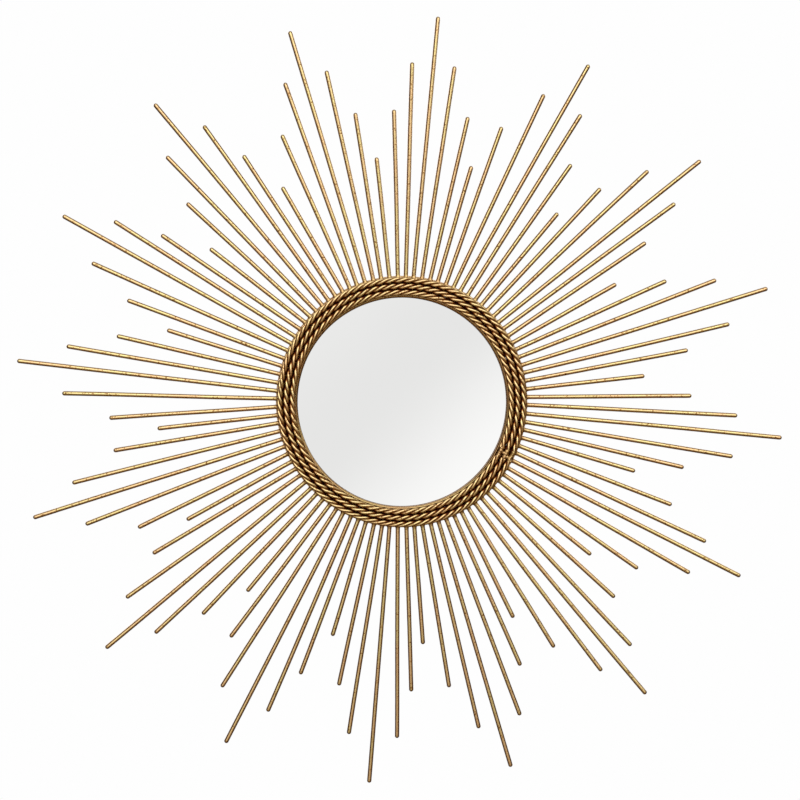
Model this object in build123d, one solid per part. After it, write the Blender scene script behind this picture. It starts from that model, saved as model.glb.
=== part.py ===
from build123d import *
import math
import os

# Sunburst wall mirror: a round looking glass inside a hoop and three rope rings of twisted wire,
# with 96 straight gilt iron rods welded behind the ropes. Millimetres, +Z up.
# The wall is the plane y = 0, the front faces -Y, and the origin is the sunburst's centre on the wall.
# Clock angles run clockwise from straight up, as a person facing the mirror sees them.

# Driving sizes
overall_diameter = 840.0
glass_diameter = 228.0
glass_thickness = 4.0
glass_arris = 0.5
glass_clearance = 0.3

hoop_wall = 1.8
hoop_lip_back_from_rope_front = 3.0
hoop_edge_rounding = 0.45

rope_count = 3
rope_diameter = 6.7
rope_gap = 0.1
rope_to_hoop_gap = 0.05

ray_count = 16
rod_diameter = 4.8
tip_step = 50.8
first_rod_angle = 1.73
rod_to_hoop_gap = 0.4
base_wander_share = 0.45
tip_wander_angle = 1.2
tip_wander_length = 1.0

ring_thickness = 3.0
ring_reach_past_ropes = 0.9

board_thickness = 12.0
board_edge_margin = 8.0
board_edge_rounding = 1.0
pocket_web = 5.0
pocket_side_room = 4.0
pocket_end_room = 6.0
pocket_corner_radius = 8.0

pad_thickness = 1.5
pad_radius = 20.0
pad_count = 4

screw_count = 8
screw_radius = 2.0
screw_hole_clearance = 0.15
screw_head_radius = 4.0
screw_head_height = 2.3
screw_sunk_below_back = 0.2
screw_end_short_of_rods = 0.3
recess_span_share = 1.1
recess_slot_share = 0.25
recess_depth_share = 0.6

hanger_eye_height = 88.0
hanger_wire_radius = 1.2
hanger_ring_radius = 12.0
hanger_running_clearance = 0.08
strap_thickness = 1.0
strap_width = 13.0
strap_length = 34.0
strap_screw_drops = (9.0, 25.0)
strap_screw_radius = 1.75
strap_screw_short_of_glass_side = 0.6
strap_screw_head_radius = 3.0
strap_screw_head_height = 1.8
strap_screw_head_rounding = 1.1
strap_screw_tip_chamfer = 0.7

weld_angle = 117.0
weld_width_angle = 6.0
weld_front_below_rope_front = 0.3
weld_depth = 2.2

# How far a cutter runs past the face that it opens
cut_past = 1.0

# Radii that follow
glass_radius = glass_diameter / 2
hoop_inner_radius = glass_radius + glass_clearance
hoop_outer_radius = hoop_inner_radius + hoop_wall
rope_radius = rope_diameter / 2
rope_pitch = rope_diameter + rope_gap
first_rope_radius = hoop_outer_radius + rope_to_hoop_gap + rope_radius
last_rope_radius = first_rope_radius + (rope_count - 1) * rope_pitch
ring_outer_radius = last_rope_radius + rope_radius + ring_reach_past_ropes
screw_circle_radius = hoop_outer_radius + board_edge_margin
board_radius = screw_circle_radius + board_edge_margin
pad_circle_radius = glass_radius - 2 * pad_radius
rod_radius = rod_diameter / 2
rod_base_radius = hoop_outer_radius + rod_to_hoop_gap
longest_tip_radius = overall_diameter / 2

# Depths that follow, all counted from the wall towards the front
board_back = 0.0
board_front = board_back + board_thickness
pocket_floor = board_front - pocket_web
ring_front = board_front + ring_thickness
rod_centre = ring_front + rod_radius
rod_front = ring_front + rod_diameter
rope_centre = rod_front + rope_radius
rope_front = rod_front + rope_diameter
hoop_front = rope_front - hoop_lip_back_from_rope_front
glass_back = board_front + pad_thickness
glass_front = glass_back + glass_thickness
strap_screw_bite = pocket_web - strap_screw_short_of_glass_side

# How far each rod of a ray falls short of the longest one, in tip steps, clockwise
ray_pattern = (1, 0, 1, 2, 3, 2)
rod_count = ray_count * len(ray_pattern)
rod_angle_step = 360 / rod_count


def at_clock(angle, radius, depth):
    """A point at a clock angle and radius, that far out from the wall."""
    turn = math.radians(angle)
    return Vector(radius * math.sin(turn), -depth, radius * math.cos(turn))


def facing_wall(angle, radius, depth):
    """A location whose local +Z points at the wall."""
    return Location(Plane(origin=at_clock(angle, radius, depth), x_dir=(1, 0, 0), z_dir=(0, 1, 0)))


def disc(radius, back, front):
    """A disc on the mirror's axis between two depths."""
    shape = Cylinder(radius, front - back, align=(Align.CENTER, Align.CENTER, Align.MIN))
    return facing_wall(0, 0, front) * shape


def annulus(outer, inner, back, front):
    """A flat ring or hoop on the mirror's axis between two depths."""
    return disc(outer, back, front) - disc(inner, back - cut_past, front + cut_past)


def wander(index, salt):
    """A repeatable value from -1 to 1, for the small unevenness of hand welding."""
    waves = (0.37, 1.13, 1.9)
    return sum(math.sin(index * wave + salt * (2 + wave)) for wave in waves) / len(waves)


def group(pieces):
    """Separate solids that share one node."""
    return Compound(children=list(pieces))


# The looking glass: one plain disc with its sharp edges taken off.
def mirror_glass():
    glass = disc(glass_radius, glass_back, glass_front)
    return chamfer(glass.edges(), glass_arris)


# Double-sided foam pads that fix the glass to the board.
def mounting_pads():
    centre = disc(pad_radius, board_front, glass_back)
    pads = [centre]
    for index in range(pad_count):
        angle = (index + 0.5) * 360 / pad_count
        pad = Cylinder(pad_radius, pad_thickness, align=(Align.CENTER, Align.CENTER, Align.MIN))
        pads.append(facing_wall(angle, pad_circle_radius, glass_back) * pad)
    return group(pads)


def countersunk_outline(shank_radius, head_radius, head_height, length):
    """Half the outline of a countersunk screw or its hole, head at the origin, shank along -Y."""
    outline = Polyline(
        (0, 0),
        (head_radius, 0),
        (shank_radius, -head_height),
        (shank_radius, -length),
        (0, -length),
        close=True,
    )
    return make_face(outline)


def screw_places(depth):
    """Locations round the screw circle at that depth, with local +Z at the wall."""
    angles = [(index + 0.5) * 360 / screw_count for index in range(screw_count)]
    return [facing_wall(angle, screw_circle_radius, depth) for angle in angles]


def strap_screw_places(depth):
    """Where the hanger's wood screws go, at that depth."""
    heights = [hanger_eye_height - drop for drop in strap_screw_drops]
    return [facing_wall(0, height, depth) for height in heights]


def cross_recess(head_radius, head_height):
    """A driver recess whose mouth is at z = 0."""
    depth = head_height * recess_depth_share
    slot = Box(head_radius * recess_span_share, head_radius * recess_slot_share, depth)
    return Pos(0, 0, -depth / 2) * (slot + Rot(0, 0, 90) * slot)


# Countersunk machine screws through the board into the steel ring.
def board_screws():
    head = board_back + screw_sunk_below_back
    length = ring_front - screw_end_short_of_rods - head
    outline = countersunk_outline(screw_radius, screw_head_radius, screw_head_height, length)
    screw = Rot(90, 0, 0) * revolve(outline, Axis.Y)
    screw -= cross_recess(screw_head_radius, screw_head_height)
    return group(place * screw for place in screw_places(head))


# Routed pocket in the board's back, in which the hanger lies below the surface.
def hanger_pocket():
    top = hanger_eye_height + hanger_ring_radius + hanger_wire_radius + pocket_end_room
    bottom = hanger_eye_height - strap_length - pocket_side_room
    half_width = hanger_ring_radius + hanger_wire_radius + pocket_side_room
    middle = (top + bottom) / 2
    pocket = Box(2 * half_width, 2 * (pocket_floor - board_back), top - bottom)
    pocket = fillet(pocket.edges().filter_by(Axis.Y), pocket_corner_radius)
    return Pos(0, -board_back, middle) * pocket


# Fibreboard disc that carries the glass and the hanger, and lies flat on the wall.
def backing_board():
    board = disc(board_radius, board_back, board_front)
    rims = board.edges().filter_by(GeomType.CIRCLE)
    board = fillet(rims, board_edge_rounding)
    mouth_radius = screw_head_radius + screw_hole_clearance
    outline = countersunk_outline(
        screw_radius + screw_hole_clearance,
        mouth_radius,
        screw_head_height,
        board_thickness + cut_past,
    )
    hole = Rot(90, 0, 0) * revolve(outline, Axis.Y)
    mouth = Cylinder(mouth_radius, cut_past, align=(Align.CENTER, Align.CENTER, Align.MIN))
    holes = [place * (hole + mouth) for place in screw_places(board_back + screw_sunk_below_back)]
    pilot = Cylinder(strap_screw_radius, 2 * strap_screw_bite)
    pilots = [place * pilot for place in strap_screw_places(pocket_floor)]
    return board - holes - hanger_pocket() - pilots


# Flat steel ring, cut from plate, that every rod is welded to.
def rear_ring():
    ring = annulus(ring_outer_radius, hoop_outer_radius, board_front, ring_front)
    bore = Cylinder(screw_radius, 4 * ring_thickness)
    return ring - [place * bore for place in screw_places(ring_front)]


# Strip-steel hoop around the glass, whose front edge shows as a thin lip.
def rim_hoop():
    hoop = annulus(hoop_outer_radius, hoop_inner_radius, board_front, hoop_front)
    front_edges = hoop.edges().filter_by(GeomType.CIRCLE).sort_by(Axis.Y)[:2]
    return fillet(front_edges, hoop_edge_rounding)


# One rope ring: the round outline of its three twisted wires.
def rope(index):
    ring = Torus(first_rope_radius + index * rope_pitch, rope_radius)
    return Location(Plane(origin=(0, -rope_centre, 0), x_dir=(1, 0, 0), z_dir=(0, 1, 0))) * ring


# Brazing that fills the valleys between the ropes where their wire ends meet.
def rope_joint_weld(ropes):
    front = rope_front - weld_front_below_rope_front
    filling = annulus(last_rope_radius, first_rope_radius, front - weld_depth, front)
    reach = last_rope_radius + rope_diameter
    half_width = reach * math.tan(math.radians(weld_width_angle / 2))
    sector = make_face(Polyline((0, 0), (-half_width, reach), (half_width, reach), close=True))
    wedge = extrude(sector, amount=rope_front + cut_past)
    stood_up = Location(Plane(origin=(0, 0, 0), x_dir=(1, 0, 0), z_dir=(0, -1, 0)))
    wedge = Rot(0, weld_angle, 0) * stood_up * wedge
    return group((filling & wedge - ropes).solids())


# One straight rod with a flat inner end and a domed tip.
def rod(start, tip):
    length = (tip - start).length
    half_outline = make_face(
        Polyline((0, length), (0, 0), (rod_radius, 0), (rod_radius, length - rod_radius))
        + RadiusArc((rod_radius, length - rod_radius), (0, length), -rod_radius)
    )
    upright = Rot(90, 0, 0) * revolve(half_outline, Axis.Y)
    return Location(Plane(origin=start, z_dir=tip - start)) * upright


def rod_at(number, short_steps):
    """The rod of that number, counted clockwise, its ends wandering a little as welded by hand."""
    angle = first_rod_angle + number * rod_angle_step
    base_arc = rod_base_radius * math.radians(rod_angle_step)
    free_arc = base_arc - rod_diameter
    base_wander = math.degrees(base_wander_share * free_arc / rod_base_radius)
    base_angle = angle + base_wander * wander(number, 1)
    tip_angle = angle + tip_wander_angle * wander(number, 2)
    tip_radius = longest_tip_radius - short_steps * tip_step
    tip_radius -= tip_wander_length * (1 - wander(number, 3)) / 2
    start = at_clock(base_angle, rod_base_radius, rod_centre)
    return rod(start, at_clock(tip_angle, tip_radius, rod_centre))


# One ray of the star: six separate rods around its longest one.
def ray(index):
    first = index * len(ray_pattern)
    return group(rod_at(first + place, steps) for place, steps in enumerate(ray_pattern))


# The hanger's hinge line, with its eye resting on the pocket's floor.
eye_inner_radius = hanger_wire_radius + hanger_running_clearance
eye_outer_radius = eye_inner_radius + strap_thickness
hinge_depth = pocket_floor - eye_outer_radius
hinge_place = Location((0, -hinge_depth, hanger_eye_height))


# Steel strap with a rolled eye at its top and a round lower end.
def hanger_strap():
    straight = strap_length - strap_width / 2
    middle = hanger_eye_height - straight / 2
    plate = Box(strap_width, strap_thickness, straight)
    plate = Pos(0, strap_thickness / 2 - pocket_floor, middle) * plate
    foot = Cylinder(strap_width / 2, strap_thickness, align=(Align.CENTER, Align.CENTER, Align.MIN))
    plate += facing_wall(0, hanger_eye_height - straight, pocket_floor) * foot
    eye = Rot(0, 90, 0) * Cylinder(eye_outer_radius, strap_width)
    bar_hole = Rot(0, 90, 0) * Cylinder(eye_inner_radius, strap_width + 2 * cut_past)
    strap = plate + hinge_place * eye - hinge_place * bar_hole
    cutter = Cylinder(strap_screw_radius, 6 * strap_thickness)
    return strap - [place * cutter for place in strap_screw_places(pocket_floor)]


# D-shaped steel ring: a straight bar in the strap's eye and a half round above it.
def hanger_ring():
    whole = Rot(90, 0, 0) * Torus(hanger_ring_radius, hanger_wire_radius)
    room = 2 * (hanger_ring_radius + hanger_wire_radius)
    upper_half = Box(room, room, room, align=(Align.CENTER, Align.CENTER, Align.MIN))
    bar = Rot(0, 90, 0) * Cylinder(hanger_wire_radius, 2 * hanger_ring_radius)
    corner = Sphere(hanger_wire_radius)
    corners = [Pos(side * hanger_ring_radius, 0, 0) * corner for side in (-1, 1)]
    return hinge_place * ((whole & upper_half) + bar + corners)


# Pan-head wood screws that hold the strap to the board, their heads seated on the strap.
def hanger_screws():
    length = strap_screw_bite + strap_thickness
    shank = Cylinder(strap_screw_radius, length, align=(Align.CENTER, Align.CENTER, Align.MAX))
    tip = shank.edges().filter_by(GeomType.CIRCLE).sort_by(Axis.Z)[0]
    shank = chamfer(tip, strap_screw_tip_chamfer)
    head = Cylinder(
        strap_screw_head_radius,
        strap_screw_head_height,
        align=(Align.CENTER, Align.CENTER, Align.MIN),
    )
    rim = head.edges().filter_by(GeomType.CIRCLE).sort_by(Axis.Z)[-1]
    head = fillet(rim, strap_screw_head_rounding)
    recess = cross_recess(strap_screw_head_radius, strap_screw_head_height)
    screw = shank + head - Pos(0, 0, strap_screw_head_height) * recess
    return group(place * screw for place in strap_screw_places(pocket_floor - strap_thickness))


rope_names = ("rope_inner", "rope_middle", "rope_outer")
ropes = [rope(index) for index in range(rope_count)]

nodes = {
    "mirror_glass": mirror_glass(),
    "mounting_pads": mounting_pads(),
    "backing_board": backing_board(),
    "board_screws": board_screws(),
    "rear_ring": rear_ring(),
    "rim_hoop": rim_hoop(),
    "rope_joint_weld": rope_joint_weld(ropes),
    "hanger_strap": hanger_strap(),
    "hanger_ring": hanger_ring(),
    "hanger_screws": hanger_screws(),
}
for name, ring in zip(rope_names, ropes):
    nodes[name] = ring
for index in range(ray_count):
    nodes[f"ray_{index + 1:02d}"] = ray(index)

os.makedirs("parts", exist_ok=True)
for name, shape in nodes.items():
    export_step(shape, f"parts/{name}.step")
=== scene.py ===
import math
import random

import bmesh
import bpy
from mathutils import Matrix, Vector, noise


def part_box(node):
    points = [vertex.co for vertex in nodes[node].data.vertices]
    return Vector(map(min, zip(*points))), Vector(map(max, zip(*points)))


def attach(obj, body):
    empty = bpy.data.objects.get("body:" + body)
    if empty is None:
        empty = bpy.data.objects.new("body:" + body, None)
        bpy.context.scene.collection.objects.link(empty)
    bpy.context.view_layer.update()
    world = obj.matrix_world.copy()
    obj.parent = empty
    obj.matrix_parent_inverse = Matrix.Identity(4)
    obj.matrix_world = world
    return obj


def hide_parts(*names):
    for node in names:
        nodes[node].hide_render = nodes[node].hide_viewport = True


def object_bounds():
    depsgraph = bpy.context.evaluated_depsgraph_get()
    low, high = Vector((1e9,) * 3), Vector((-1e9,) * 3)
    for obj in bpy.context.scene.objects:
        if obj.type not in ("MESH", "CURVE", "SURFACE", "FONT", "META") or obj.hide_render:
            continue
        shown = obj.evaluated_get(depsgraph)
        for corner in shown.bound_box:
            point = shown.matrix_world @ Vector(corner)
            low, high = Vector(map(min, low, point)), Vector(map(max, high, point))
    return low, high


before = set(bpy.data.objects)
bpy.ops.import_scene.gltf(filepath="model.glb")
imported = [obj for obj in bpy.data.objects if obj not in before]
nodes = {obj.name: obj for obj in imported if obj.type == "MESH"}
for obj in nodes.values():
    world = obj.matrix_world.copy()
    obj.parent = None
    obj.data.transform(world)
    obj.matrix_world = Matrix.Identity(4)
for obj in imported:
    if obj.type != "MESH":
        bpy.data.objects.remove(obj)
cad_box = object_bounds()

scene = bpy.context.scene


# ---------------------------------------------------------------------------------------------
# Backing board. A disc of medium-density fibreboard, cut on a router and rolled with thin dark
# brown paint. It lies flat on the wall and carries everything else.
millimetre = 0.001


def linear(hex_colour):
    """An sRGB hex colour as linear red, green, blue, alpha."""
    channels = [int(hex_colour[place:place + 2], 16) / 255 for place in (1, 3, 5)]
    turned = [c / 12.92 if c <= 0.04045 else ((c + 0.055) / 1.055) ** 2.4 for c in channels]
    return (*turned, 1.0)


def per_metre(feature_mm):
    """The pattern scale that makes one feature that many millimetres wide."""
    return 1 / (feature_mm * millimetre)


def add_node(tree, kind, settings, links=()):
    """Adds a node; settings are its options or its sockets' values, links feed its sockets.

    A Mix node's sockets go by number: 0 is the share, 6 and 7 are its two colours.
    """
    made = tree.nodes.new(kind)
    for name, value in settings.items():
        if isinstance(name, int) or name in made.inputs:
            made.inputs[name].default_value = value
        else:
            setattr(made, name, value)
    for name, source in dict(links).items():
        tree.links.new(source, made.inputs[name])
    return made


def new_material(name):
    """An empty node material, its tree, its Principled shader and its object coordinates."""
    material = bpy.data.materials.new(name)
    material.use_nodes = True
    tree = material.node_tree
    tree.nodes.clear()
    shader = add_node(tree, "ShaderNodeBsdfPrincipled", {})
    add_node(tree, "ShaderNodeOutputMaterial", {}, {"Surface": shader.outputs[0]})
    place = add_node(tree, "ShaderNodeTexCoord", {}).outputs["Object"]
    return material, tree, shader, place


# Rolled paint on fibreboard: nearly matt dark brown, with the roller's fine orange peel in its
# shine and relief, and paler scuffs from handling.
board_paint, tree, shader, place = new_material("rolled_dark_board_paint")
peel = add_node(tree, "ShaderNodeTexNoise", {"Scale": per_metre(1.6), "Detail": 3.0}, {"Vector": place})
scuff = add_node(tree, "ShaderNodeTexNoise", {"Scale": per_metre(18), "Detail": 8.0, "Roughness": 0.68},
                 {"Vector": place})
scuffed = add_node(tree, "ShaderNodeMapRange", {"From Min": 0.55, "From Max": 0.72, "To Max": 0.55},
                   {"Value": scuff.outputs["Fac"]})
paint = add_node(tree, "ShaderNodeMix", {"data_type": "RGBA", 6: linear("#2a211b"), 7: linear("#5b4a3c")},
                 {0: scuffed.outputs[0]})
tree.links.new(paint.outputs[2], shader.inputs["Base Color"])
shine = add_node(tree, "ShaderNodeMapRange", {"To Min": 0.5, "To Max": 0.68}, {"Value": peel.outputs["Fac"]})
tree.links.new(shine.outputs[0], shader.inputs["Roughness"])
relief = add_node(tree, "ShaderNodeBump", {"Strength": 0.5, "Distance": 0.08 * millimetre},
                  {"Height": peel.outputs["Fac"]})
tree.links.new(relief.outputs[0], shader.inputs["Normal"])


def dress(node_name, material):
    """Gives a carried-over piece its finish."""
    node = nodes[node_name]
    node.data.materials.clear()
    node.data.materials.append(material)


dress("backing_board", board_paint)


# ---------------------------------------------------------------------------------------------
# Screws and hanger. Stock steel hardware: eight countersunk screws that hold the board to the
# rear ring, and a strap that pinches the hanging ring in its rolled eye, under two wood screws.

# Bright zinc, barrel plated: a soft sheen, faint blue and yellow clouding from the passivation,
# and fine tumbling marks.
zinc_plate, tree, shader, place = new_material("bright_zinc_plate")
cloud = add_node(tree, "ShaderNodeTexNoise", {"Scale": per_metre(4), "Detail": 3.0}, {"Vector": place})
tumble = add_node(tree, "ShaderNodeTexNoise", {"Scale": per_metre(0.5), "Detail": 5.0}, {"Vector": place})
zinc_tone = add_node(tree, "ShaderNodeMix", {"data_type": "RGBA", 6: linear("#b9bec6"), 7: linear("#d3cdb8")},
                     {0: cloud.outputs["Fac"]})
tree.links.new(zinc_tone.outputs[2], shader.inputs["Base Color"])
shader.inputs["Metallic"].default_value = 1.0
shine = add_node(tree, "ShaderNodeMapRange", {"To Min": 0.22, "To Max": 0.42},
                 {"Value": tumble.outputs["Fac"]})
tree.links.new(shine.outputs[0], shader.inputs["Roughness"])
relief = add_node(tree, "ShaderNodeBump", {"Strength": 0.3, "Distance": 0.02 * millimetre},
                  {"Height": tumble.outputs["Fac"]})
tree.links.new(relief.outputs[0], shader.inputs["Normal"])

for name in ("board_screws", "hanger_screws", "hanger_strap", "hanger_ring"):
    dress(name, zinc_plate)


# ---------------------------------------------------------------------------------------------
# Mounting pads. Five discs die cut from double-sided foam tape, which stick the glass to the
# board and give a little, so that it isn't strained.

# Closed-cell foam: off-white and matt, with fine cells on the cut edge.
foam, tree, shader, place = new_material("closed_cell_foam")
cells = add_node(tree, "ShaderNodeTexVoronoi", {"Scale": per_metre(0.4)}, {"Vector": place})
foam_tone = add_node(tree, "ShaderNodeMix", {"data_type": "RGBA", 6: linear("#cfcac0"), 7: linear("#efece4")},
                     {0: cells.outputs["Distance"]})
tree.links.new(foam_tone.outputs[2], shader.inputs["Base Color"])
shader.inputs["Roughness"].default_value = 0.85
relief = add_node(tree, "ShaderNodeBump", {"Strength": 0.6, "Distance": 0.1 * millimetre},
                  {"Height": cells.outputs["Distance"]})
tree.links.new(relief.outputs[0], shader.inputs["Normal"])
dress("mounting_pads", foam)


# ---------------------------------------------------------------------------------------------
# Looking glass. A disc of float glass, silvered and painted on its back, with its sharp edges
# ground off to a narrow polished arris. It sits in the hoop on the foam pads.
glass_low, glass_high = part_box("mirror_glass")
glass_radius = (glass_high.x - glass_low.x) / 2
arris = 0.3 * millimetre
glass_sides = 192

# Silvered float glass: a clean neutral mirror. The silver is drawn on the front face.
silvered, tree, shader, place = new_material("silvered_float_glass")
tint = add_node(tree, "ShaderNodeTexNoise", {"Scale": per_metre(60), "Detail": 2.0}, {"Vector": place})
silver = add_node(tree, "ShaderNodeMix", {"data_type": "RGBA", 6: linear("#f4f4f3"), 7: linear("#f6f6f5")},
                  {0: tint.outputs["Fac"]})
tree.links.new(silver.outputs[2], shader.inputs["Base Color"])
shader.inputs["Metallic"].default_value = 1.0
shader.inputs["Roughness"].default_value = 0.0

# Polished glass edge: a thin grey-green line with a soft shine.
arris_glass, tree, shader, place = new_material("polished_arris")
grind = add_node(tree, "ShaderNodeTexNoise", {"Scale": per_metre(0.7), "Detail": 2.0}, {"Vector": place})
edge_tone = add_node(tree, "ShaderNodeMix", {"data_type": "RGBA", 6: linear("#d3dcd8"), 7: linear("#e6ece9")},
                     {0: grind.outputs["Fac"]})
tree.links.new(edge_tone.outputs[2], shader.inputs["Base Color"])
shader.inputs["Metallic"].default_value = 1.0
shader.inputs["Roughness"].default_value = 0.18

# Curtain-coated backing paint: flat grey, hardly uneven.
mirror_back, tree, shader, place = new_material("mirror_back_paint")
curtain = add_node(tree, "ShaderNodeTexNoise", {"Scale": per_metre(6), "Detail": 3.0}, {"Vector": place})
back_tone = add_node(tree, "ShaderNodeMix", {"data_type": "RGBA", 6: linear("#6d7478"), 7: linear("#7d8488")},
                     {0: curtain.outputs["Fac"]})
tree.links.new(back_tone.outputs[2], shader.inputs["Base Color"])
shader.inputs["Roughness"].default_value = 0.6


def finish_mesh(name, shape, materials, smooth=True):
    """Turns a bmesh into a named object with its materials and shading."""
    mesh = bpy.data.meshes.new(name)
    shape.to_mesh(mesh)
    shape.free()
    for material in materials:
        mesh.materials.append(material)
    for face in mesh.polygons:
        face.use_smooth = smooth
    piece = bpy.data.objects.new(name, mesh)
    scene.collection.objects.link(piece)
    return piece


def point_round(turn, radius, y):
    """A point round the glass, at an angle in radians clockwise from straight up."""
    return Vector((radius * math.sin(turn), y, radius * math.cos(turn)))


def skin(shape, loops):
    """Joins each loop of points to the next with a band of faces, and returns the faces."""
    faces = []
    for first, second in zip(loops, loops[1:]):
        for side in range(len(first)):
            after = (side + 1) % len(first)
            corners = (first[side], first[after], second[after], second[side])
            faces.append(shape.faces.new(list(dict.fromkeys(corners))))
    return faces


# The glass's section from the front's middle to the back's, and the finish of each stretch: the
# materials' numbers on the piece.
section = [
    (0.0, glass_low.y),
    (glass_radius - arris, glass_low.y),
    (glass_radius, glass_low.y + arris),
    (glass_radius, glass_high.y - arris),
    (glass_radius - arris, glass_high.y),
    (0.0, glass_high.y),
]
silver_face, ground_edge, painted_back = range(3)
stretch_finishes = (silver_face, ground_edge, ground_edge, ground_edge, painted_back)
glass = bmesh.new()
rings = []
for radius, y in section:
    if radius == 0.0:
        rings.append([glass.verts.new((0, y, 0))] * glass_sides)
        continue
    turns = [side * 2 * math.pi / glass_sides for side in range(glass_sides)]
    rings.append([glass.verts.new(point_round(turn, radius, y)) for turn in turns])
for first, second, finish in zip(rings, rings[1:], stretch_finishes):
    for face in skin(glass, [first, second]):
        face.material_index = finish
bmesh.ops.recalc_face_normals(glass, faces=glass.faces)
looking_glass = finish_mesh("looking_glass", glass, [silvered, arris_glass, mirror_back], smooth=False)
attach(looking_glass, "frame")
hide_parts("mirror_glass")


# ---------------------------------------------------------------------------------------------
# Rear ring. A flat ring cut from steel plate, which the board is screwed to and every rod is
# welded to. It is gilded together with the rods, the hoop and the ropes.
ring_low, ring_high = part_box("rear_ring")
hoop_low, hoop_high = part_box("rim_hoop")
ropes_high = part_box("rope_outer")[1]

# How far from the hoop, the ropes and the ring the painted shade under the ropes, and the glaze and
# painted shade beside them, run out
shade_past_hoop = 0.7 * millimetre
shade_past_ropes = 0.15 * millimetre
shade_inside_ropes = 0.85 * millimetre
shade_before_ropes_back = 0.79 * millimetre
shade_behind_ropes_back = 0.21 * millimetre
glaze_and_shade_past_ring = 3.15 * millimetre
glaze_and_shade_inside_ring = 0.15 * millimetre
glaze_and_shade_at_ring = 0.24


def gilding(name, leaf_tones, glaze_and_shade, wax_and_shade, side_shade, hollow_wax_and_shade):
    """Imitation gold leaf, toned with brown wax and with painted shade.

    The glaze colour goes where the wax and painted shade are thin, and the wax colour where they are thick.
    The side share is how much painted shade lies on what faces sideways, and the hollows function works out
    how much wax and painted shade lie at a radius and a depth.
    """
    material, tree, shader, place = new_material(name)
    drift = add_node(tree, "ShaderNodeTexNoise", {"Scale": per_metre(30), "Detail": 2.0}, {"Vector": place})
    yellower = add_node(tree, "ShaderNodeMapRange", {"From Min": 0.38, "From Max": 0.62},
                        {"Value": drift.outputs["Fac"]})
    leaf = add_node(tree, "ShaderNodeMix",
                    {"data_type": "RGBA", 6: linear(leaf_tones[0]), 7: linear(leaf_tones[1])},
                    {0: yellower.outputs[0]})

    rub = add_node(tree, "ShaderNodeTexNoise", {"Scale": per_metre(2.4), "Detail": 5.0, "Roughness": 0.62},
                   {"Vector": place})
    broken = add_node(tree, "ShaderNodeMapRange", {"From Min": 0.56, "From Max": 0.68, "To Max": 0.85},
                      {"Value": rub.outputs["Fac"]})
    normal = add_node(tree, "ShaderNodeNewGeometry", {}).outputs["Normal"]
    frontal = add_node(tree, "ShaderNodeVectorMath", {"operation": "DOT_PRODUCT", 1: (0.0, -1.0, 0.0)},
                       {0: normal})
    squareness = add_node(tree, "ShaderNodeMath", {"operation": "ABSOLUTE"}, {0: frontal.outputs["Value"]})
    # Painted shade: whatever faces sideways, away from the front, is darkened towards the glaze and wax
    # colours.
    painted_side_shade = add_node(tree, "ShaderNodeMapRange", {"From Min": 0.92, "From Max": 0.4, "To Max": side_shade},
                        {"Value": squareness.outputs[0]})
    wear_and_side_shade = add_node(tree, "ShaderNodeMath", {"operation": "MAXIMUM"},
                    {0: broken.outputs[0], 1: painted_side_shade.outputs[0]})

    apart = add_node(tree, "ShaderNodeSeparateXYZ", {}, {0: place})
    flat = add_node(tree, "ShaderNodeCombineXYZ", {}, {0: apart.outputs[0], 2: apart.outputs[2]})
    radius = add_node(tree, "ShaderNodeVectorMath", {"operation": "LENGTH"}, {0: flat.outputs[0]})
    wax_and_shade_in_hollows = hollow_wax_and_shade(tree, radius.outputs["Value"], apart.outputs[1])
    wax_wear_and_shade = add_node(tree, "ShaderNodeMath", {"operation": "MAXIMUM"},
                         {0: wear_and_side_shade.outputs[0], 1: wax_and_shade_in_hollows}).outputs[0]

    # Where broken leaf, wax and painted shade are thin the leaf takes the glaze colour, and where they are
    # thick it takes the wax colour.
    thin_wax_and_shade = add_node(tree, "ShaderNodeMapRange", {"From Max": 0.5}, {"Value": wax_wear_and_shade})
    glazed_and_shaded = add_node(tree, "ShaderNodeMix", {"data_type": "RGBA", 7: linear(glaze_and_shade)},
                      {0: thin_wax_and_shade.outputs[0], 6: leaf.outputs[2]})
    thick_wax_and_shade = add_node(tree, "ShaderNodeMapRange", {"From Min": 0.5}, {"Value": wax_wear_and_shade})
    tone = add_node(tree, "ShaderNodeMix", {"data_type": "RGBA", 7: linear(wax_and_shade)},
                    {0: thick_wax_and_shade.outputs[0], 6: glazed_and_shaded.outputs[2]})
    tree.links.new(tone.outputs[2], shader.inputs["Base Color"])
    metal = add_node(tree, "ShaderNodeMapRange", {"To Min": 1.0, "To Max": 0.9}, {"Value": wax_wear_and_shade})
    tree.links.new(metal.outputs[0], shader.inputs["Metallic"])

    grain = add_node(tree, "ShaderNodeTexNoise", {"Scale": per_metre(0.8), "Detail": 4.0}, {"Vector": place})
    leaf_shine = add_node(tree, "ShaderNodeMapRange", {"To Min": 0.12, "To Max": 0.3},
                          {"Value": grain.outputs["Fac"]})
    shine = add_node(tree, "ShaderNodeMath", {"operation": "MULTIPLY_ADD", 1: 0.2},
                     {0: wax_wear_and_shade, 2: leaf_shine.outputs[0]})
    tree.links.new(shine.outputs[0], shader.inputs["Roughness"])
    texture = add_node(tree, "ShaderNodeMath", {"operation": "MULTIPLY_ADD", 1: -0.8},
                       {0: wear_and_side_shade.outputs[0], 2: grain.outputs["Fac"]})
    relief = add_node(tree, "ShaderNodeBump", {"Strength": 0.55, "Distance": 0.12 * millimetre},
                      {"Height": texture.outputs[0]})
    tree.links.new(relief.outputs[0], shader.inputs["Normal"])
    return material


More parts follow.
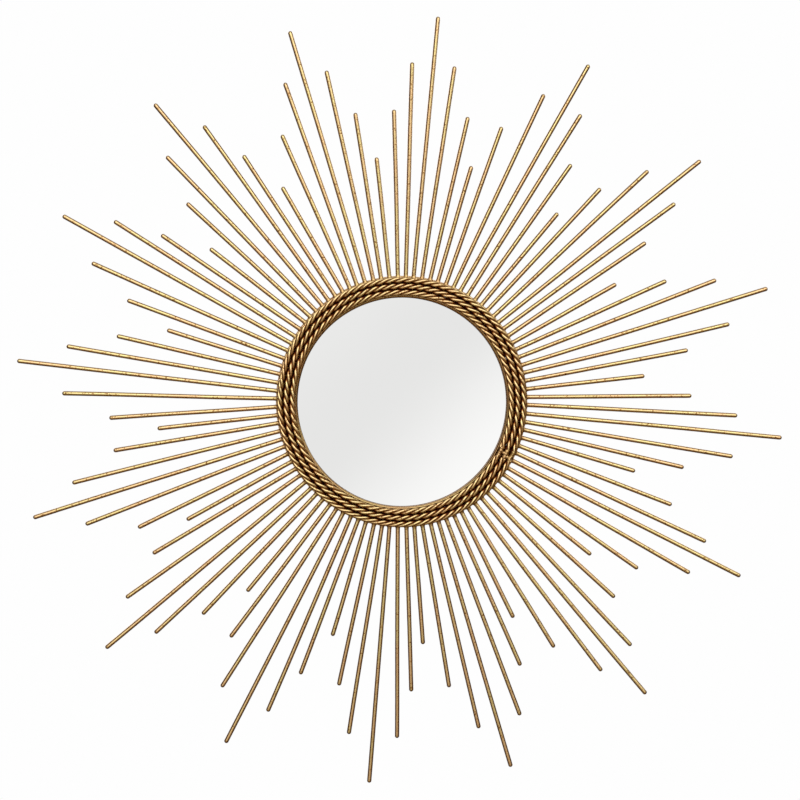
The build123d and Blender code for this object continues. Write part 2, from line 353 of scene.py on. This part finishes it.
def ironwork_glaze_and_shade(tree, radius, depth):
    """Painted shade on the ironwork: dark where the ropes cover it, and a thin glaze with painted shade on
    the welds beside them.
    """
    past_hoop = add_node(tree, "ShaderNodeMapRange",
                         {"From Min": hoop_high.x, "From Max": hoop_high.x + shade_past_hoop},
                         {"Value": radius})
    under_ropes = add_node(tree, "ShaderNodeMapRange",
                           {"From Min": ropes_high.x + shade_past_ropes,
                            "From Max": ropes_high.x - shade_inside_ropes}, {"Value": radius})
    band = add_node(tree, "ShaderNodeMath", {"operation": "MULTIPLY"},
                    {0: past_hoop.outputs[0], 1: under_ropes.outputs[0]})
    # Painted shade: the ironwork under the ropes and behind their back is darkened, where the ropes shade it.
    behind = add_node(tree, "ShaderNodeMapRange",
                      {"From Min": ropes_high.y - shade_before_ropes_back,
                       "From Max": ropes_high.y + shade_behind_ropes_back}, {"Value": depth})
    painted_shade_under_ropes = add_node(tree, "ShaderNodeMath", {"operation": "MULTIPLY"},
                       {0: band.outputs[0], 1: behind.outputs[0]})
    # A thin glaze with painted shade on the welds and ring just beside the outer rope, fading outwards.
    glaze_and_shade_beside_ropes = add_node(tree, "ShaderNodeMapRange",
                            {"From Min": ring_high.x + glaze_and_shade_past_ring,
                             "From Max": ring_high.x - glaze_and_shade_inside_ring, "To Max": glaze_and_shade_at_ring},
                            {"Value": radius})
    return add_node(tree, "ShaderNodeMath", {"operation": "MAXIMUM"},
                    {0: glaze_and_shade_beside_ropes.outputs[0], 1: painted_shade_under_ropes.outputs[0]}).outputs[0]


# Gilded iron: leaf over brown size, rubbed down and waxed. Pale gold that drifts between yellow
# and pink, with brown specks where the leaf broke, painted shade in brown down the sides of each bar,
# and painted shade on the ironwork under the ropes and beside them.
gilt_iron = gilding("gold_leaf_with_painted_shade_on_iron", ("#dfbf8e", "#decd90"), "#9d7038", "#4c260e", 0.5,
                    ironwork_glaze_and_shade)
dress("rear_ring", gilt_iron)


# ---------------------------------------------------------------------------------------------
# Rim hoop. Steel strip rolled on edge round the glass, its ends welded and dressed flush. Its
# front edge is bevelled inwards and shows as a thin lip inside the inner rope.
glass_play = 0.06 * millimetre
hoop_outer = (hoop_high.x - hoop_low.x) / 2
hoop_inner = glass_radius + glass_play
hoop_sides = 288
lip_bevel = 0.7 * millimetre
lip_round = 0.25 * millimetre

hoop_section = [
    (hoop_outer, hoop_high.y),
    (hoop_inner, hoop_high.y),
    (hoop_inner, hoop_low.y + lip_bevel),
    (hoop_inner + lip_round * 0.3, hoop_low.y + lip_bevel - lip_round),
    (hoop_outer - lip_round * 1.6, hoop_low.y + lip_round * 0.5),
    (hoop_outer - lip_round, hoop_low.y),
    (hoop_outer - lip_round * 0.4, hoop_low.y),
    (hoop_outer, hoop_low.y + lip_round * 0.4),
]
hoop = bmesh.new()
hoop_loops = []
for side in range(hoop_sides):
    turn = 2 * math.pi * side / hoop_sides
    hoop_loops.append([hoop.verts.new(point_round(turn, radius, y)) for radius, y in hoop_section])
skin(hoop, hoop_loops + hoop_loops[:1])
bmesh.ops.recalc_face_normals(hoop, faces=hoop.faces)
strip_hoop = finish_mesh("rolled_strip_hoop", hoop, [gilt_iron])
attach(strip_hoop, "frame")
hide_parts("rim_hoop")


# ---------------------------------------------------------------------------------------------
# Rods. 96 lengths of round bar, cut by hand, each with its tip ground to a dome and its other
# end welded to the rear ring. Bar off the coil is never quite straight or quite round.
rod_loop_spacing = 3.0 * millimetre
rod_sides = 16
dome_loops = 6
bar_bend = 0.22 * millimetre
bar_unroundness = 0.05 * millimetre
flats_per_metre = 90
same_point = 0.001 * millimetre
end_tolerance = 0.01 * millimetre


def separate_rods(node):
    """Each rod of a ray as (inner end, tip, radius), read from the ray's solids."""
    shape = bmesh.new()
    shape.from_mesh(node.data)
    bmesh.ops.remove_doubles(shape, verts=shape.verts, dist=same_point)
    unseen = set(shape.verts)
    rods = []
    while unseen:
        reached = [unseen.pop()]
        for vertex in reached:
            for edge in vertex.link_edges:
                other = edge.other_vert(vertex)
                if other in unseen:
                    unseen.discard(other)
                    reached.append(other)
        points = [vertex.co.copy() for vertex in reached]
        tip = max(points, key=lambda point: point.length)
        length = max((point - tip).length for point in points)
        end_points = [point for point in points if (point - tip).length > length - end_tolerance]
        low = Vector([min(point[axis] for point in end_points) for axis in range(3)])
        high = Vector([max(point[axis] for point in end_points) for axis in range(3)])
        rods.append(((low + high) / 2, tip, (high.y - low.y) / 2))
    shape.free()
    return sorted(rods, key=lambda rod: math.atan2(rod[1].x, rod[1].z) % (2 * math.pi))


def rod_directions(inner, tip):
    """Unit vectors along a rod, across it in the plane of the wall, and square to both."""
    along = (tip - inner).normalized()
    across = along.cross(Vector((0, 1, 0))).normalized()
    return along, across, across.cross(along)


def add_rod(shape, inner, tip, radius, seed):
    """Adds one rod to a bmesh: nearly straight bar with a ground dome at its tip."""
    along, across, out = rod_directions(inner, tip)
    length = (tip - inner).length
    straight = length - radius
    steps = max(2, round(straight / rod_loop_spacing))
    stations = [straight * step / steps for step in range(steps + 1)]
    stations += [straight + radius * math.sin(math.pi / 2 * step / dome_loops)
                 for step in range(1, dome_loops)]
    loops = []
    for station in stations:
        into_dome = max(0.0, station - straight)
        size = math.sqrt(max(radius * radius - into_dome * into_dome, 0))
        share = station / length
        bow = share * (1 - share) * 4
        # Each seed reads its own stretch of the noise.
        sideways = noise.noise(Vector((seed * 7.3, share * 1.7, 0))) * 2 * bar_bend * bow
        lift = noise.noise(Vector((seed * 3.1, share * 1.3, 9))) * bar_bend * bow
        middle = inner + along * station + across * sideways + out * lift
        loop = []
        for side in range(rod_sides):
            turn = 2 * math.pi * side / rod_sides
            flat_place = Vector((math.cos(turn), math.sin(turn), station * flats_per_metre + seed * 11))
            reach = size * (1 + noise.noise(flat_place) * bar_unroundness / radius)
            loop.append(shape.verts.new(middle + (across * math.cos(turn) + out * math.sin(turn)) * reach))
        loops.append(loop)
    skin(shape, loops)
    shape.faces.new(list(reversed(loops[0])))
    crown = shape.verts.new(inner + along * length)
    skin(shape, [loops[-1], [crown] * rod_sides])


ray_names = sorted(name for name in nodes if name.startswith("ray_"))
all_rods = []
for ray_name in ray_names:
    ray_shape = bmesh.new()
    for inner, tip, radius in separate_rods(nodes[ray_name]):
        add_rod(ray_shape, inner, tip, radius, len(all_rods))
        all_rods.append((inner, tip, radius))
    bmesh.ops.recalc_face_normals(ray_shape, faces=ray_shape.faces)
    ray_piece = finish_mesh(f"{ray_name}_rods", ray_shape, [gilt_iron])
    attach(ray_piece, "frame")
    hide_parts(ray_name)


# ---------------------------------------------------------------------------------------------
# Ropes. Three rings, each twisted from three round iron wires in a left-hand lay, laid side by
# side on the rods' front. Their ends stop at the closing weld.
rope_names = ("rope_inner", "rope_middle", "rope_outer")
rope_boxes = {name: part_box(name) for name in rope_names}
rope_radius = (rope_boxes["rope_inner"][1].y - rope_boxes["rope_inner"][0].y) / 2
rope_centre_y = (rope_boxes["rope_inner"][1].y + rope_boxes["rope_inner"][0].y) / 2
ring_radii = [(rope_boxes[name][1].x - rope_boxes[name][0].x) / 2 - rope_radius for name in rope_names]
rope_pitch = ring_radii[1] - ring_radii[0]
wire_count = 3
wire_radius = 1.54 * millimetre
wire_path_radius = rope_radius - wire_radius
lay_length = 29.4 * millimetre
lay_wander = 0.5
lay_wander_waves = 2.5
next_rope_twist = 0.9
weld_turn = math.radians(117.0)
weld_half_width = math.radians(2.0)
wire_loops_per_lay = 22
wire_sides = 14
small_turn = 0.0005


def rope_wax_and_shade(tree, radius, depth):
    """Wax and painted shade in the ropes: dark on the wires' inner sides, partly wax in the lay and
    partly painted shade, and painted shade in the gaps between the ropes.
    """
    shifted = add_node(tree, "ShaderNodeMath", {"operation": "SUBTRACT", 1: ring_radii[0] - rope_pitch / 2},
                       {0: radius})
    wrapped = add_node(tree, "ShaderNodeMath", {"operation": "FLOORED_MODULO", 1: rope_pitch},
                       {0: shifted.outputs[0]})
    across = add_node(tree, "ShaderNodeMath", {"operation": "SUBTRACT", 1: rope_pitch / 2},
                      {0: wrapped.outputs[0]})
    below = add_node(tree, "ShaderNodeMath", {"operation": "SUBTRACT", 1: rope_centre_y}, {0: depth})
    section = add_node(tree, "ShaderNodeCombineXYZ", {}, {0: across.outputs[0], 1: below.outputs[0]})
    from_core = add_node(tree, "ShaderNodeVectorMath", {"operation": "LENGTH"}, {0: section.outputs[0]})
    # Partly wax and partly painted shade: the wires darken on their inner sides, near each rope's core.
    inner_side_wax_and_shade = add_node(tree, "ShaderNodeMapRange",
                           {"From Min": rope_radius * 0.72, "From Max": rope_radius * 0.52},
                           {"Value": from_core.outputs["Value"]})
    # Painted shade: the wires' back halves darken in the gaps between the ropes.
    sunken_shade = add_node(tree, "ShaderNodeMapRange",
                      {"From Min": -rope_radius * 0.7, "From Max": -rope_radius * 0.36},
                      {"Value": below.outputs[0]})
    between = add_node(tree, "ShaderNodeMath", {"operation": "COMPARE", 1: ring_radii[1], 2: rope_pitch},
                       {0: radius})
    painted_gap_shade = add_node(tree, "ShaderNodeMath", {"operation": "MULTIPLY"},
                   {0: sunken_shade.outputs[0], 1: between.outputs[0]})
    return add_node(tree, "ShaderNodeMath", {"operation": "MAXIMUM"},
                    {0: inner_side_wax_and_shade.outputs[0], 1: painted_gap_shade.outputs[0]}).outputs[0]


# Gilded rope: the same leaf, made paler all over as a painted highlight that brightens the ropes,
# with redder and darker wax left in the lay, partly painted shade.
gilt_rope = gilding("gold_leaf_with_painted_light_on_rope", ("#ecca93", "#ead499"), "#a36b32", "#501b08", 0.1, rope_wax_and_shade)


def wire_point(ring_radius, turn, start, phase):
    """Where a wire's middle runs at one turn round the mirror."""
    uneven = lay_wander * noise.noise(Vector((turn * lay_wander_waves, ring_radius / rope_pitch, 0)))
    twist = phase + uneven - (turn - start) * ring_radius / lay_length * 2 * math.pi
    across = wire_path_radius * math.cos(twist)
    return point_round(turn, ring_radius + across, rope_centre_y - wire_path_radius * math.sin(twist))


def add_wire(shape, ring_radius, start, end, phase):
    """Adds one wire of a rope as a closed tube with flat ends."""
    lays = (end - start) * ring_radius / lay_length
    steps = round(lays * wire_loops_per_lay)
    loops = []
    for step in range(steps + 1):
        turn = start + (end - start) * step / steps
        middle = wire_point(ring_radius, turn, start, phase)
        ahead = wire_point(ring_radius, turn + small_turn, start, phase)
        behind = wire_point(ring_radius, turn - small_turn, start, phase)
        along = (ahead - behind).normalized()
        outward = middle - point_round(turn, ring_radius, rope_centre_y)
        outward = (outward - along * outward.dot(along)).normalized()
        sideways = along.cross(outward)
        loop = []
        for side in range(wire_sides):
            angle = 2 * math.pi * side / wire_sides
            spread = outward * math.cos(angle) + sideways * math.sin(angle)
            loop.append(shape.verts.new(middle + spread * wire_radius))
        loops.append(loop)
    skin(shape, loops)
    shape.faces.new(list(reversed(loops[0])))
    shape.faces.new(loops[-1])


start = weld_turn + weld_half_width
end = weld_turn - weld_half_width + 2 * math.pi
for ring_index, name in enumerate(rope_names):
    for wire in range(wire_count):
        wire_shape = bmesh.new()
        phase = 2 * math.pi * wire / wire_count + next_rope_twist * ring_index
        add_wire(wire_shape, ring_radii[ring_index], start, end, phase)
        bmesh.ops.recalc_face_normals(wire_shape, faces=wire_shape.faces)
        wire_piece = finish_mesh(f"{name}_wire_{wire + 1}", wire_shape, [gilt_rope])
        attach(wire_piece, "frame")
        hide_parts(name)


# ---------------------------------------------------------------------------------------------
# Closing weld. Where the three ropes' ends meet, they are puddled together with lumps of weld,
# and a seam is dabbed across them from the outer rope to the inner one and left as cast.
lump_noise = random.Random(4)
puddle_degrees = (-2.3, -1.4, -0.5, 0.4, 1.3, 2.2)
puddle_wander = 0.5
puddle_sizes = (2.3, 3.0)
puddle_forward = 0.6 * millimetre
seam_dabs = 7
seam_sizes = (1.9, 2.3)
seam_forward = 1.0 * millimetre
seam_start = 1.5
seam_lean = 2.6
seam_wander = 0.3
seam_outer = ring_radii[2] + 1.5 * millimetre
seam_inner = ring_radii[0] - 0.5 * millimetre
weld_voxel = 0.4 * millimetre
weld_grain = 1.9 * millimetre
weld_relief = 0.2 * millimetre
weld_front = rope_boxes["rope_inner"][0].y + 0.1 * millimetre


def add_lump(shape, middle, size):
    """Adds one round dab of weld."""
    lump = bmesh.ops.create_icosphere(shape, subdivisions=3, radius=1.0)["verts"]
    for vertex in lump:
        vertex.co = middle + Vector([vertex.co[axis] * size[axis] for axis in range(3)])


weld_shape = bmesh.new()
for ring_radius in ring_radii:
    for degrees in puddle_degrees:
        turn = weld_turn + math.radians(degrees)
        aside = lump_noise.uniform(-puddle_wander, puddle_wander)
        up = lump_noise.uniform(-puddle_wander, puddle_wander)
        wander = Vector((aside, 0, up)) * millimetre
        size = lump_noise.uniform(*puddle_sizes) * millimetre
        middle = point_round(turn, ring_radius, rope_centre_y - puddle_forward) + wander
        add_lump(weld_shape, middle, (size, size * 0.95, size))
for dab in range(seam_dabs):
    share = dab / (seam_dabs - 1)
    degrees = seam_start - seam_lean * share + lump_noise.uniform(-seam_wander, seam_wander)
    radius = seam_outer + (seam_inner - seam_outer) * share
    size = lump_noise.uniform(*seam_sizes) * millimetre
    middle = point_round(weld_turn + math.radians(degrees), radius, rope_centre_y - seam_forward)
    add_lump(weld_shape, middle, (size, size * 0.9, size))
weld_piece = finish_mesh("rope_closing_weld", weld_shape, [gilt_iron])
fuse = weld_piece.modifiers.new("fuse", "REMESH")
fuse.mode = "VOXEL"
fuse.voxel_size = weld_voxel
flow = weld_piece.modifiers.new("flow", "SMOOTH")
flow.iterations = 3
fused = bpy.data.meshes.new_from_object(weld_piece.evaluated_get(bpy.context.evaluated_depsgraph_get()))
weld_piece.modifiers.clear()
weld_piece.data = fused
for vertex in fused.vertices:
    rise = noise.noise(vertex.co / weld_grain) + 0.5 * noise.noise(vertex.co / (weld_grain * 0.4))
    vertex.co += vertex.normal * rise * weld_relief
    vertex.co.y = max(vertex.co.y, weld_front)
for face in fused.polygons:
    face.use_smooth = True
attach(weld_piece, "frame")
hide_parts("rope_joint_weld")


# ---------------------------------------------------------------------------------------------
# Weld beads. A small fillet of weld flares from each rod onto the edge of the rear ring, just
# outside the outer rope, gilded over with the rest.
ring_edge = (ring_high.x - ring_low.x) / 2
bead_sides = 24
bead_steps = 12
bead_inside = 1.1 * millimetre
bead_length = 4.2 * millimetre
bead_flare = 2.6 * millimetre
bead_overlap = 0.04 * millimetre
bead_hollowness = 2.4
bead_unevenness = 0.45


def add_bead(shape, inner, tip, rod_radius, seed):
    """Adds the flared collar of weld where one rod leaves the rear ring."""
    along, across, out = rod_directions(inner, tip)
    start = ring_edge - inner.length - bead_inside
    loops = []
    for step in range(bead_steps + 1):
        share = step / bead_steps
        flare = bead_flare * (1 - share) ** bead_hollowness
        middle = inner + along * (start + bead_length * share)
        loop = []
        for side in range(bead_sides):
            turn = 2 * math.pi * side / bead_sides
            lump_place = Vector((math.cos(turn) * 1.3, math.sin(turn) * 1.3, seed * 5 + share))
            lump = 1 + bead_unevenness * noise.noise(lump_place)
            # The weld runs out to both sides along the ring, and stays low on the rod's front.
            towards_ring = max(0.0, math.sin(turn) * (1 if out.y > 0 else -1))
            width = 0.25 + 0.75 * abs(math.cos(turn)) + 0.2 * towards_ring
            reach = rod_radius + bead_overlap + flare * width * lump
            loop.append(shape.verts.new(middle + (across * math.cos(turn) + out * math.sin(turn)) * reach))
        loops.append(loop)
    skin(shape, loops)
    shape.faces.new(list(reversed(loops[0])))
    shape.faces.new(loops[-1])


rods_per_ray = len(all_rods) // len(ray_names)
for ray_index, ray_name in enumerate(ray_names):
    bead_shape = bmesh.new()
    for rod_index in range(ray_index * rods_per_ray, (ray_index + 1) * rods_per_ray):
        add_bead(bead_shape, *all_rods[rod_index], rod_index)
    bmesh.ops.recalc_face_normals(bead_shape, faces=bead_shape.faces)
    bead_piece = finish_mesh(f"{ray_name}_weld_beads", bead_shape, [gilt_iron])
    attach(bead_piece, "frame")


# ---------------------------------------------------------------------------------------------
# Floor. A plain pale floor well below the mirror, which hangs clear of it. The gilding doesn't
# reflect it, so that its lower sides stay warm.
floor_drop = 1.4
floor_radius = 1.6

# Painted studio floor: pale and matt, hardly uneven.
floor_material, tree, shader, place = new_material("pale_floor")
speck = add_node(tree, "ShaderNodeTexNoise", {"Scale": per_metre(40), "Detail": 3.0}, {"Vector": place})
pale = add_node(tree, "ShaderNodeMix", {"data_type": "RGBA", 6: linear("#f3f2ef"), 7: linear("#f9f8f6")},
                {0: speck.outputs["Fac"]})
tree.links.new(pale.outputs[2], shader.inputs["Base Color"])
shader.inputs["Roughness"].default_value = 0.7
floor_shape = bmesh.new()
bmesh.ops.create_circle(floor_shape, cap_ends=True, segments=96, radius=floor_radius)
floor = finish_mesh("studio_floor", floor_shape, [floor_material], smooth=False)
floor.location = (0, 0, -floor_drop)
floor.visible_glossy = False


# ---------------------------------------------------------------------------------------------
# Lights. A wide softbox above in front, a small one to the right, and two weak fills behind the
# wall's plane for the back.
def soft_light(name, location, target, size, power):
    """An area light, in metres and watts, that the camera itself doesn't see."""
    data = bpy.data.lights.new(name, "AREA")
    data.shape = "RECTANGLE"
    data.size, data.size_y = size
    data.energy = power
    light = bpy.data.objects.new(name, data)
    scene.collection.objects.link(light)
    light.location = location
    light.rotation_euler = (Vector(target) - Vector(location)).to_track_quat("-Z", "Y").to_euler()
    light.visible_camera = False


soft_light("high_softbox", location=(0.3, -1.4, 0.8), target=(0, 0, 0.3), size=(2.0, 0.6), power=2)
soft_light("side_softbox", location=(1.3, -0.35, 0.55), target=(0, 0, 0.25), size=(0.5, 0.8), power=1.4)
for hand, aside in (("left", -1.5), ("right", 1.5)):
    soft_light(f"back_{hand}_fill", location=(aside, 2.2, 0.9), target=(0, 0, 0), size=(1.2, 1.2), power=14)


# ---------------------------------------------------------------------------------------------
# Surroundings. The gilding reflects bright patches in front, overhead and behind, on a dim warm
# ground. The looking glass shows a plain pale wall, and the camera sees white past the floor.
world = bpy.data.worlds.new("studio_surroundings")
world.use_nodes = True
scene.world = world
tree = world.node_tree
tree.nodes.clear()
direction = add_node(tree, "ShaderNodeTexCoord", {}).outputs["Generated"]
height = add_node(tree, "ShaderNodeSeparateXYZ", {}, {0: direction}).outputs[2]


def lit_patch(towards, full_angle, dark_angle, level):
    """How bright the surroundings are: level within one angle of a direction, 0 past the other."""
    facing = add_node(tree, "ShaderNodeVectorMath",
                      {"operation": "DOT_PRODUCT", 1: Vector(towards).normalized()}, {0: direction})
    return add_node(tree, "ShaderNodeMapRange",
                    {"interpolation_type": "SMOOTHSTEP", "From Min": math.cos(math.radians(dark_angle)),
                     "From Max": math.cos(math.radians(full_angle)), "To Max": level},
                    {"Value": facing.outputs["Value"]}).outputs[0]


front_patch = lit_patch(towards=(0.1, -0.93, 0.22), full_angle=23, dark_angle=50, level=1.38)
lower_shade = add_node(tree, "ShaderNodeMapRange",
                       {"interpolation_type": "SMOOTHSTEP", "From Min": -0.15, "From Max": 0.2,
                        "To Min": 0.22}, {"Value": height})
shaded_front = add_node(tree, "ShaderNodeMath", {"operation": "MULTIPLY"},
                        {0: front_patch, 1: lower_shade.outputs[0]})
wide_front = lit_patch(towards=(0.0, -1.0, 0.0), full_angle=46, dark_angle=64, level=0.16)
upper_half = add_node(tree, "ShaderNodeMapRange",
                      {"interpolation_type": "SMOOTHSTEP", "From Min": 0.12, "From Max": 0.4},
                      {"Value": height})
arch = add_node(tree, "ShaderNodeMath", {"operation": "MULTIPLY"}, {0: wide_front, 1: upper_half.outputs[0]})
ceiling = lit_patch(towards=(0.0, -0.2, 1.0), full_angle=20, dark_angle=55, level=0.6)
low_left = lit_patch(towards=(-0.5, -0.85, -0.12), full_angle=15, dark_angle=42, level=0.26)
back_patch = lit_patch(towards=(0.0, 0.97, 0.25), full_angle=25, dark_angle=55, level=0.8)
brightness = shaded_front.outputs[0]
for patch in (arch.outputs[0], ceiling, low_left, back_patch):
    brightness = add_node(tree, "ShaderNodeMath", {"operation": "ADD"}, {0: brightness, 1: patch}).outputs[0]
patches = add_node(tree, "ShaderNodeCombineColor", {}, {channel: brightness for channel in range(3)})

below_front = lit_patch(towards=(0.0, -0.95, -0.3), full_angle=30, dark_angle=85, level=1.0)
warm_ground = add_node(tree, "ShaderNodeMix",
                       {"data_type": "RGBA", 6: linear("#3f2712"), 7: linear("#795f3f")}, {0: below_front})
studio = add_node(tree, "ShaderNodeMix", {"data_type": "RGBA", "blend_type": "ADD", 0: 1.0},
                  {6: warm_ground.outputs[2], 7: patches.outputs[0]})

# The pale wall in the looking glass: bright at the lower right, duller at the upper left, and
# dullest along the soft diagonal between them.
slant = add_node(tree, "ShaderNodeVectorMath",
                 {"operation": "DOT_PRODUCT", 1: Vector((1, 0, -1)).normalized()}, {0: direction})
bright_side = add_node(tree, "ShaderNodeMapRange",
                       {"interpolation_type": "SMOOTHSTEP", "From Min": 0.066, "From Max": 0.115,
                        "To Min": 0.0, "To Max": 0.19}, {"Value": slant.outputs["Value"]})
dull_side = add_node(tree, "ShaderNodeMapRange",
                     {"interpolation_type": "SMOOTHSTEP", "From Min": 0.062, "From Max": 0.02,
                      "To Min": 0.865, "To Max": 0.905}, {"Value": slant.outputs["Value"]})
wall_level = add_node(tree, "ShaderNodeMath", {"operation": "ADD"},
                      {0: bright_side.outputs[0], 1: dull_side.outputs[0]})
pale_wall = add_node(tree, "ShaderNodeCombineColor", {},
                     {channel: wall_level.outputs[0] for channel in range(3)})

# Only the looking glass is free of roughness, so only it sends singular rays. The limit on their
# depth keeps the pale wall out of what the rods and ropes reflect.
path = add_node(tree, "ShaderNodeLightPath", {}).outputs
few_bounces = add_node(tree, "ShaderNodeMath", {"operation": "LESS_THAN", 1: 2.5}, {0: path["Ray Depth"]})
by_glass_alone = add_node(tree, "ShaderNodeMath", {"operation": "MULTIPLY"},
                          {0: path["Is Singular Ray"], 1: few_bounces.outputs[0]})
reflected = add_node(tree, "ShaderNodeMix", {"data_type": "RGBA"},
                     {0: by_glass_alone.outputs[0], 6: studio.outputs[2], 7: pale_wall.outputs[0]})
seen = add_node(tree, "ShaderNodeMix", {"data_type": "RGBA", 7: linear("#fefefe")},
                {0: path["Is Camera Ray"], 6: reflected.outputs[2]})
surroundings = add_node(tree, "ShaderNodeBackground", {}, {"Color": seen.outputs[2]})
add_node(tree, "ShaderNodeOutputWorld", {}, {"Surface": surroundings.outputs[0]})


# ---------------------------------------------------------------------------------------------
# Camera. A long lens three metres out from the wall, standing a little up and to the left of
# square on, so the star's upper left is slightly nearer.
camera_distance = 3.0
camera_left = 0.150
camera_up = 0.150
aim_left = 0.002
aim_up = 0.002
view_width = 0.8709
star_low, star_high = cad_box
aim = Vector((-aim_left, (star_low[1] + star_high[1]) / 2, aim_up))

camera_data = bpy.data.cameras.new("studio_camera")
camera_data.sensor_width = 36.0
camera_data.lens = camera_data.sensor_width * camera_distance / view_width
camera = bpy.data.objects.new("studio_camera", camera_data)
scene.collection.objects.link(camera)
camera.location = aim + Vector((-camera_left, -camera_distance, camera_up))
camera.rotation_euler = (aim - camera.location).to_track_quat("-Z", "Y").to_euler()
scene.camera = camera
scene.view_settings.view_transform = "Standard"
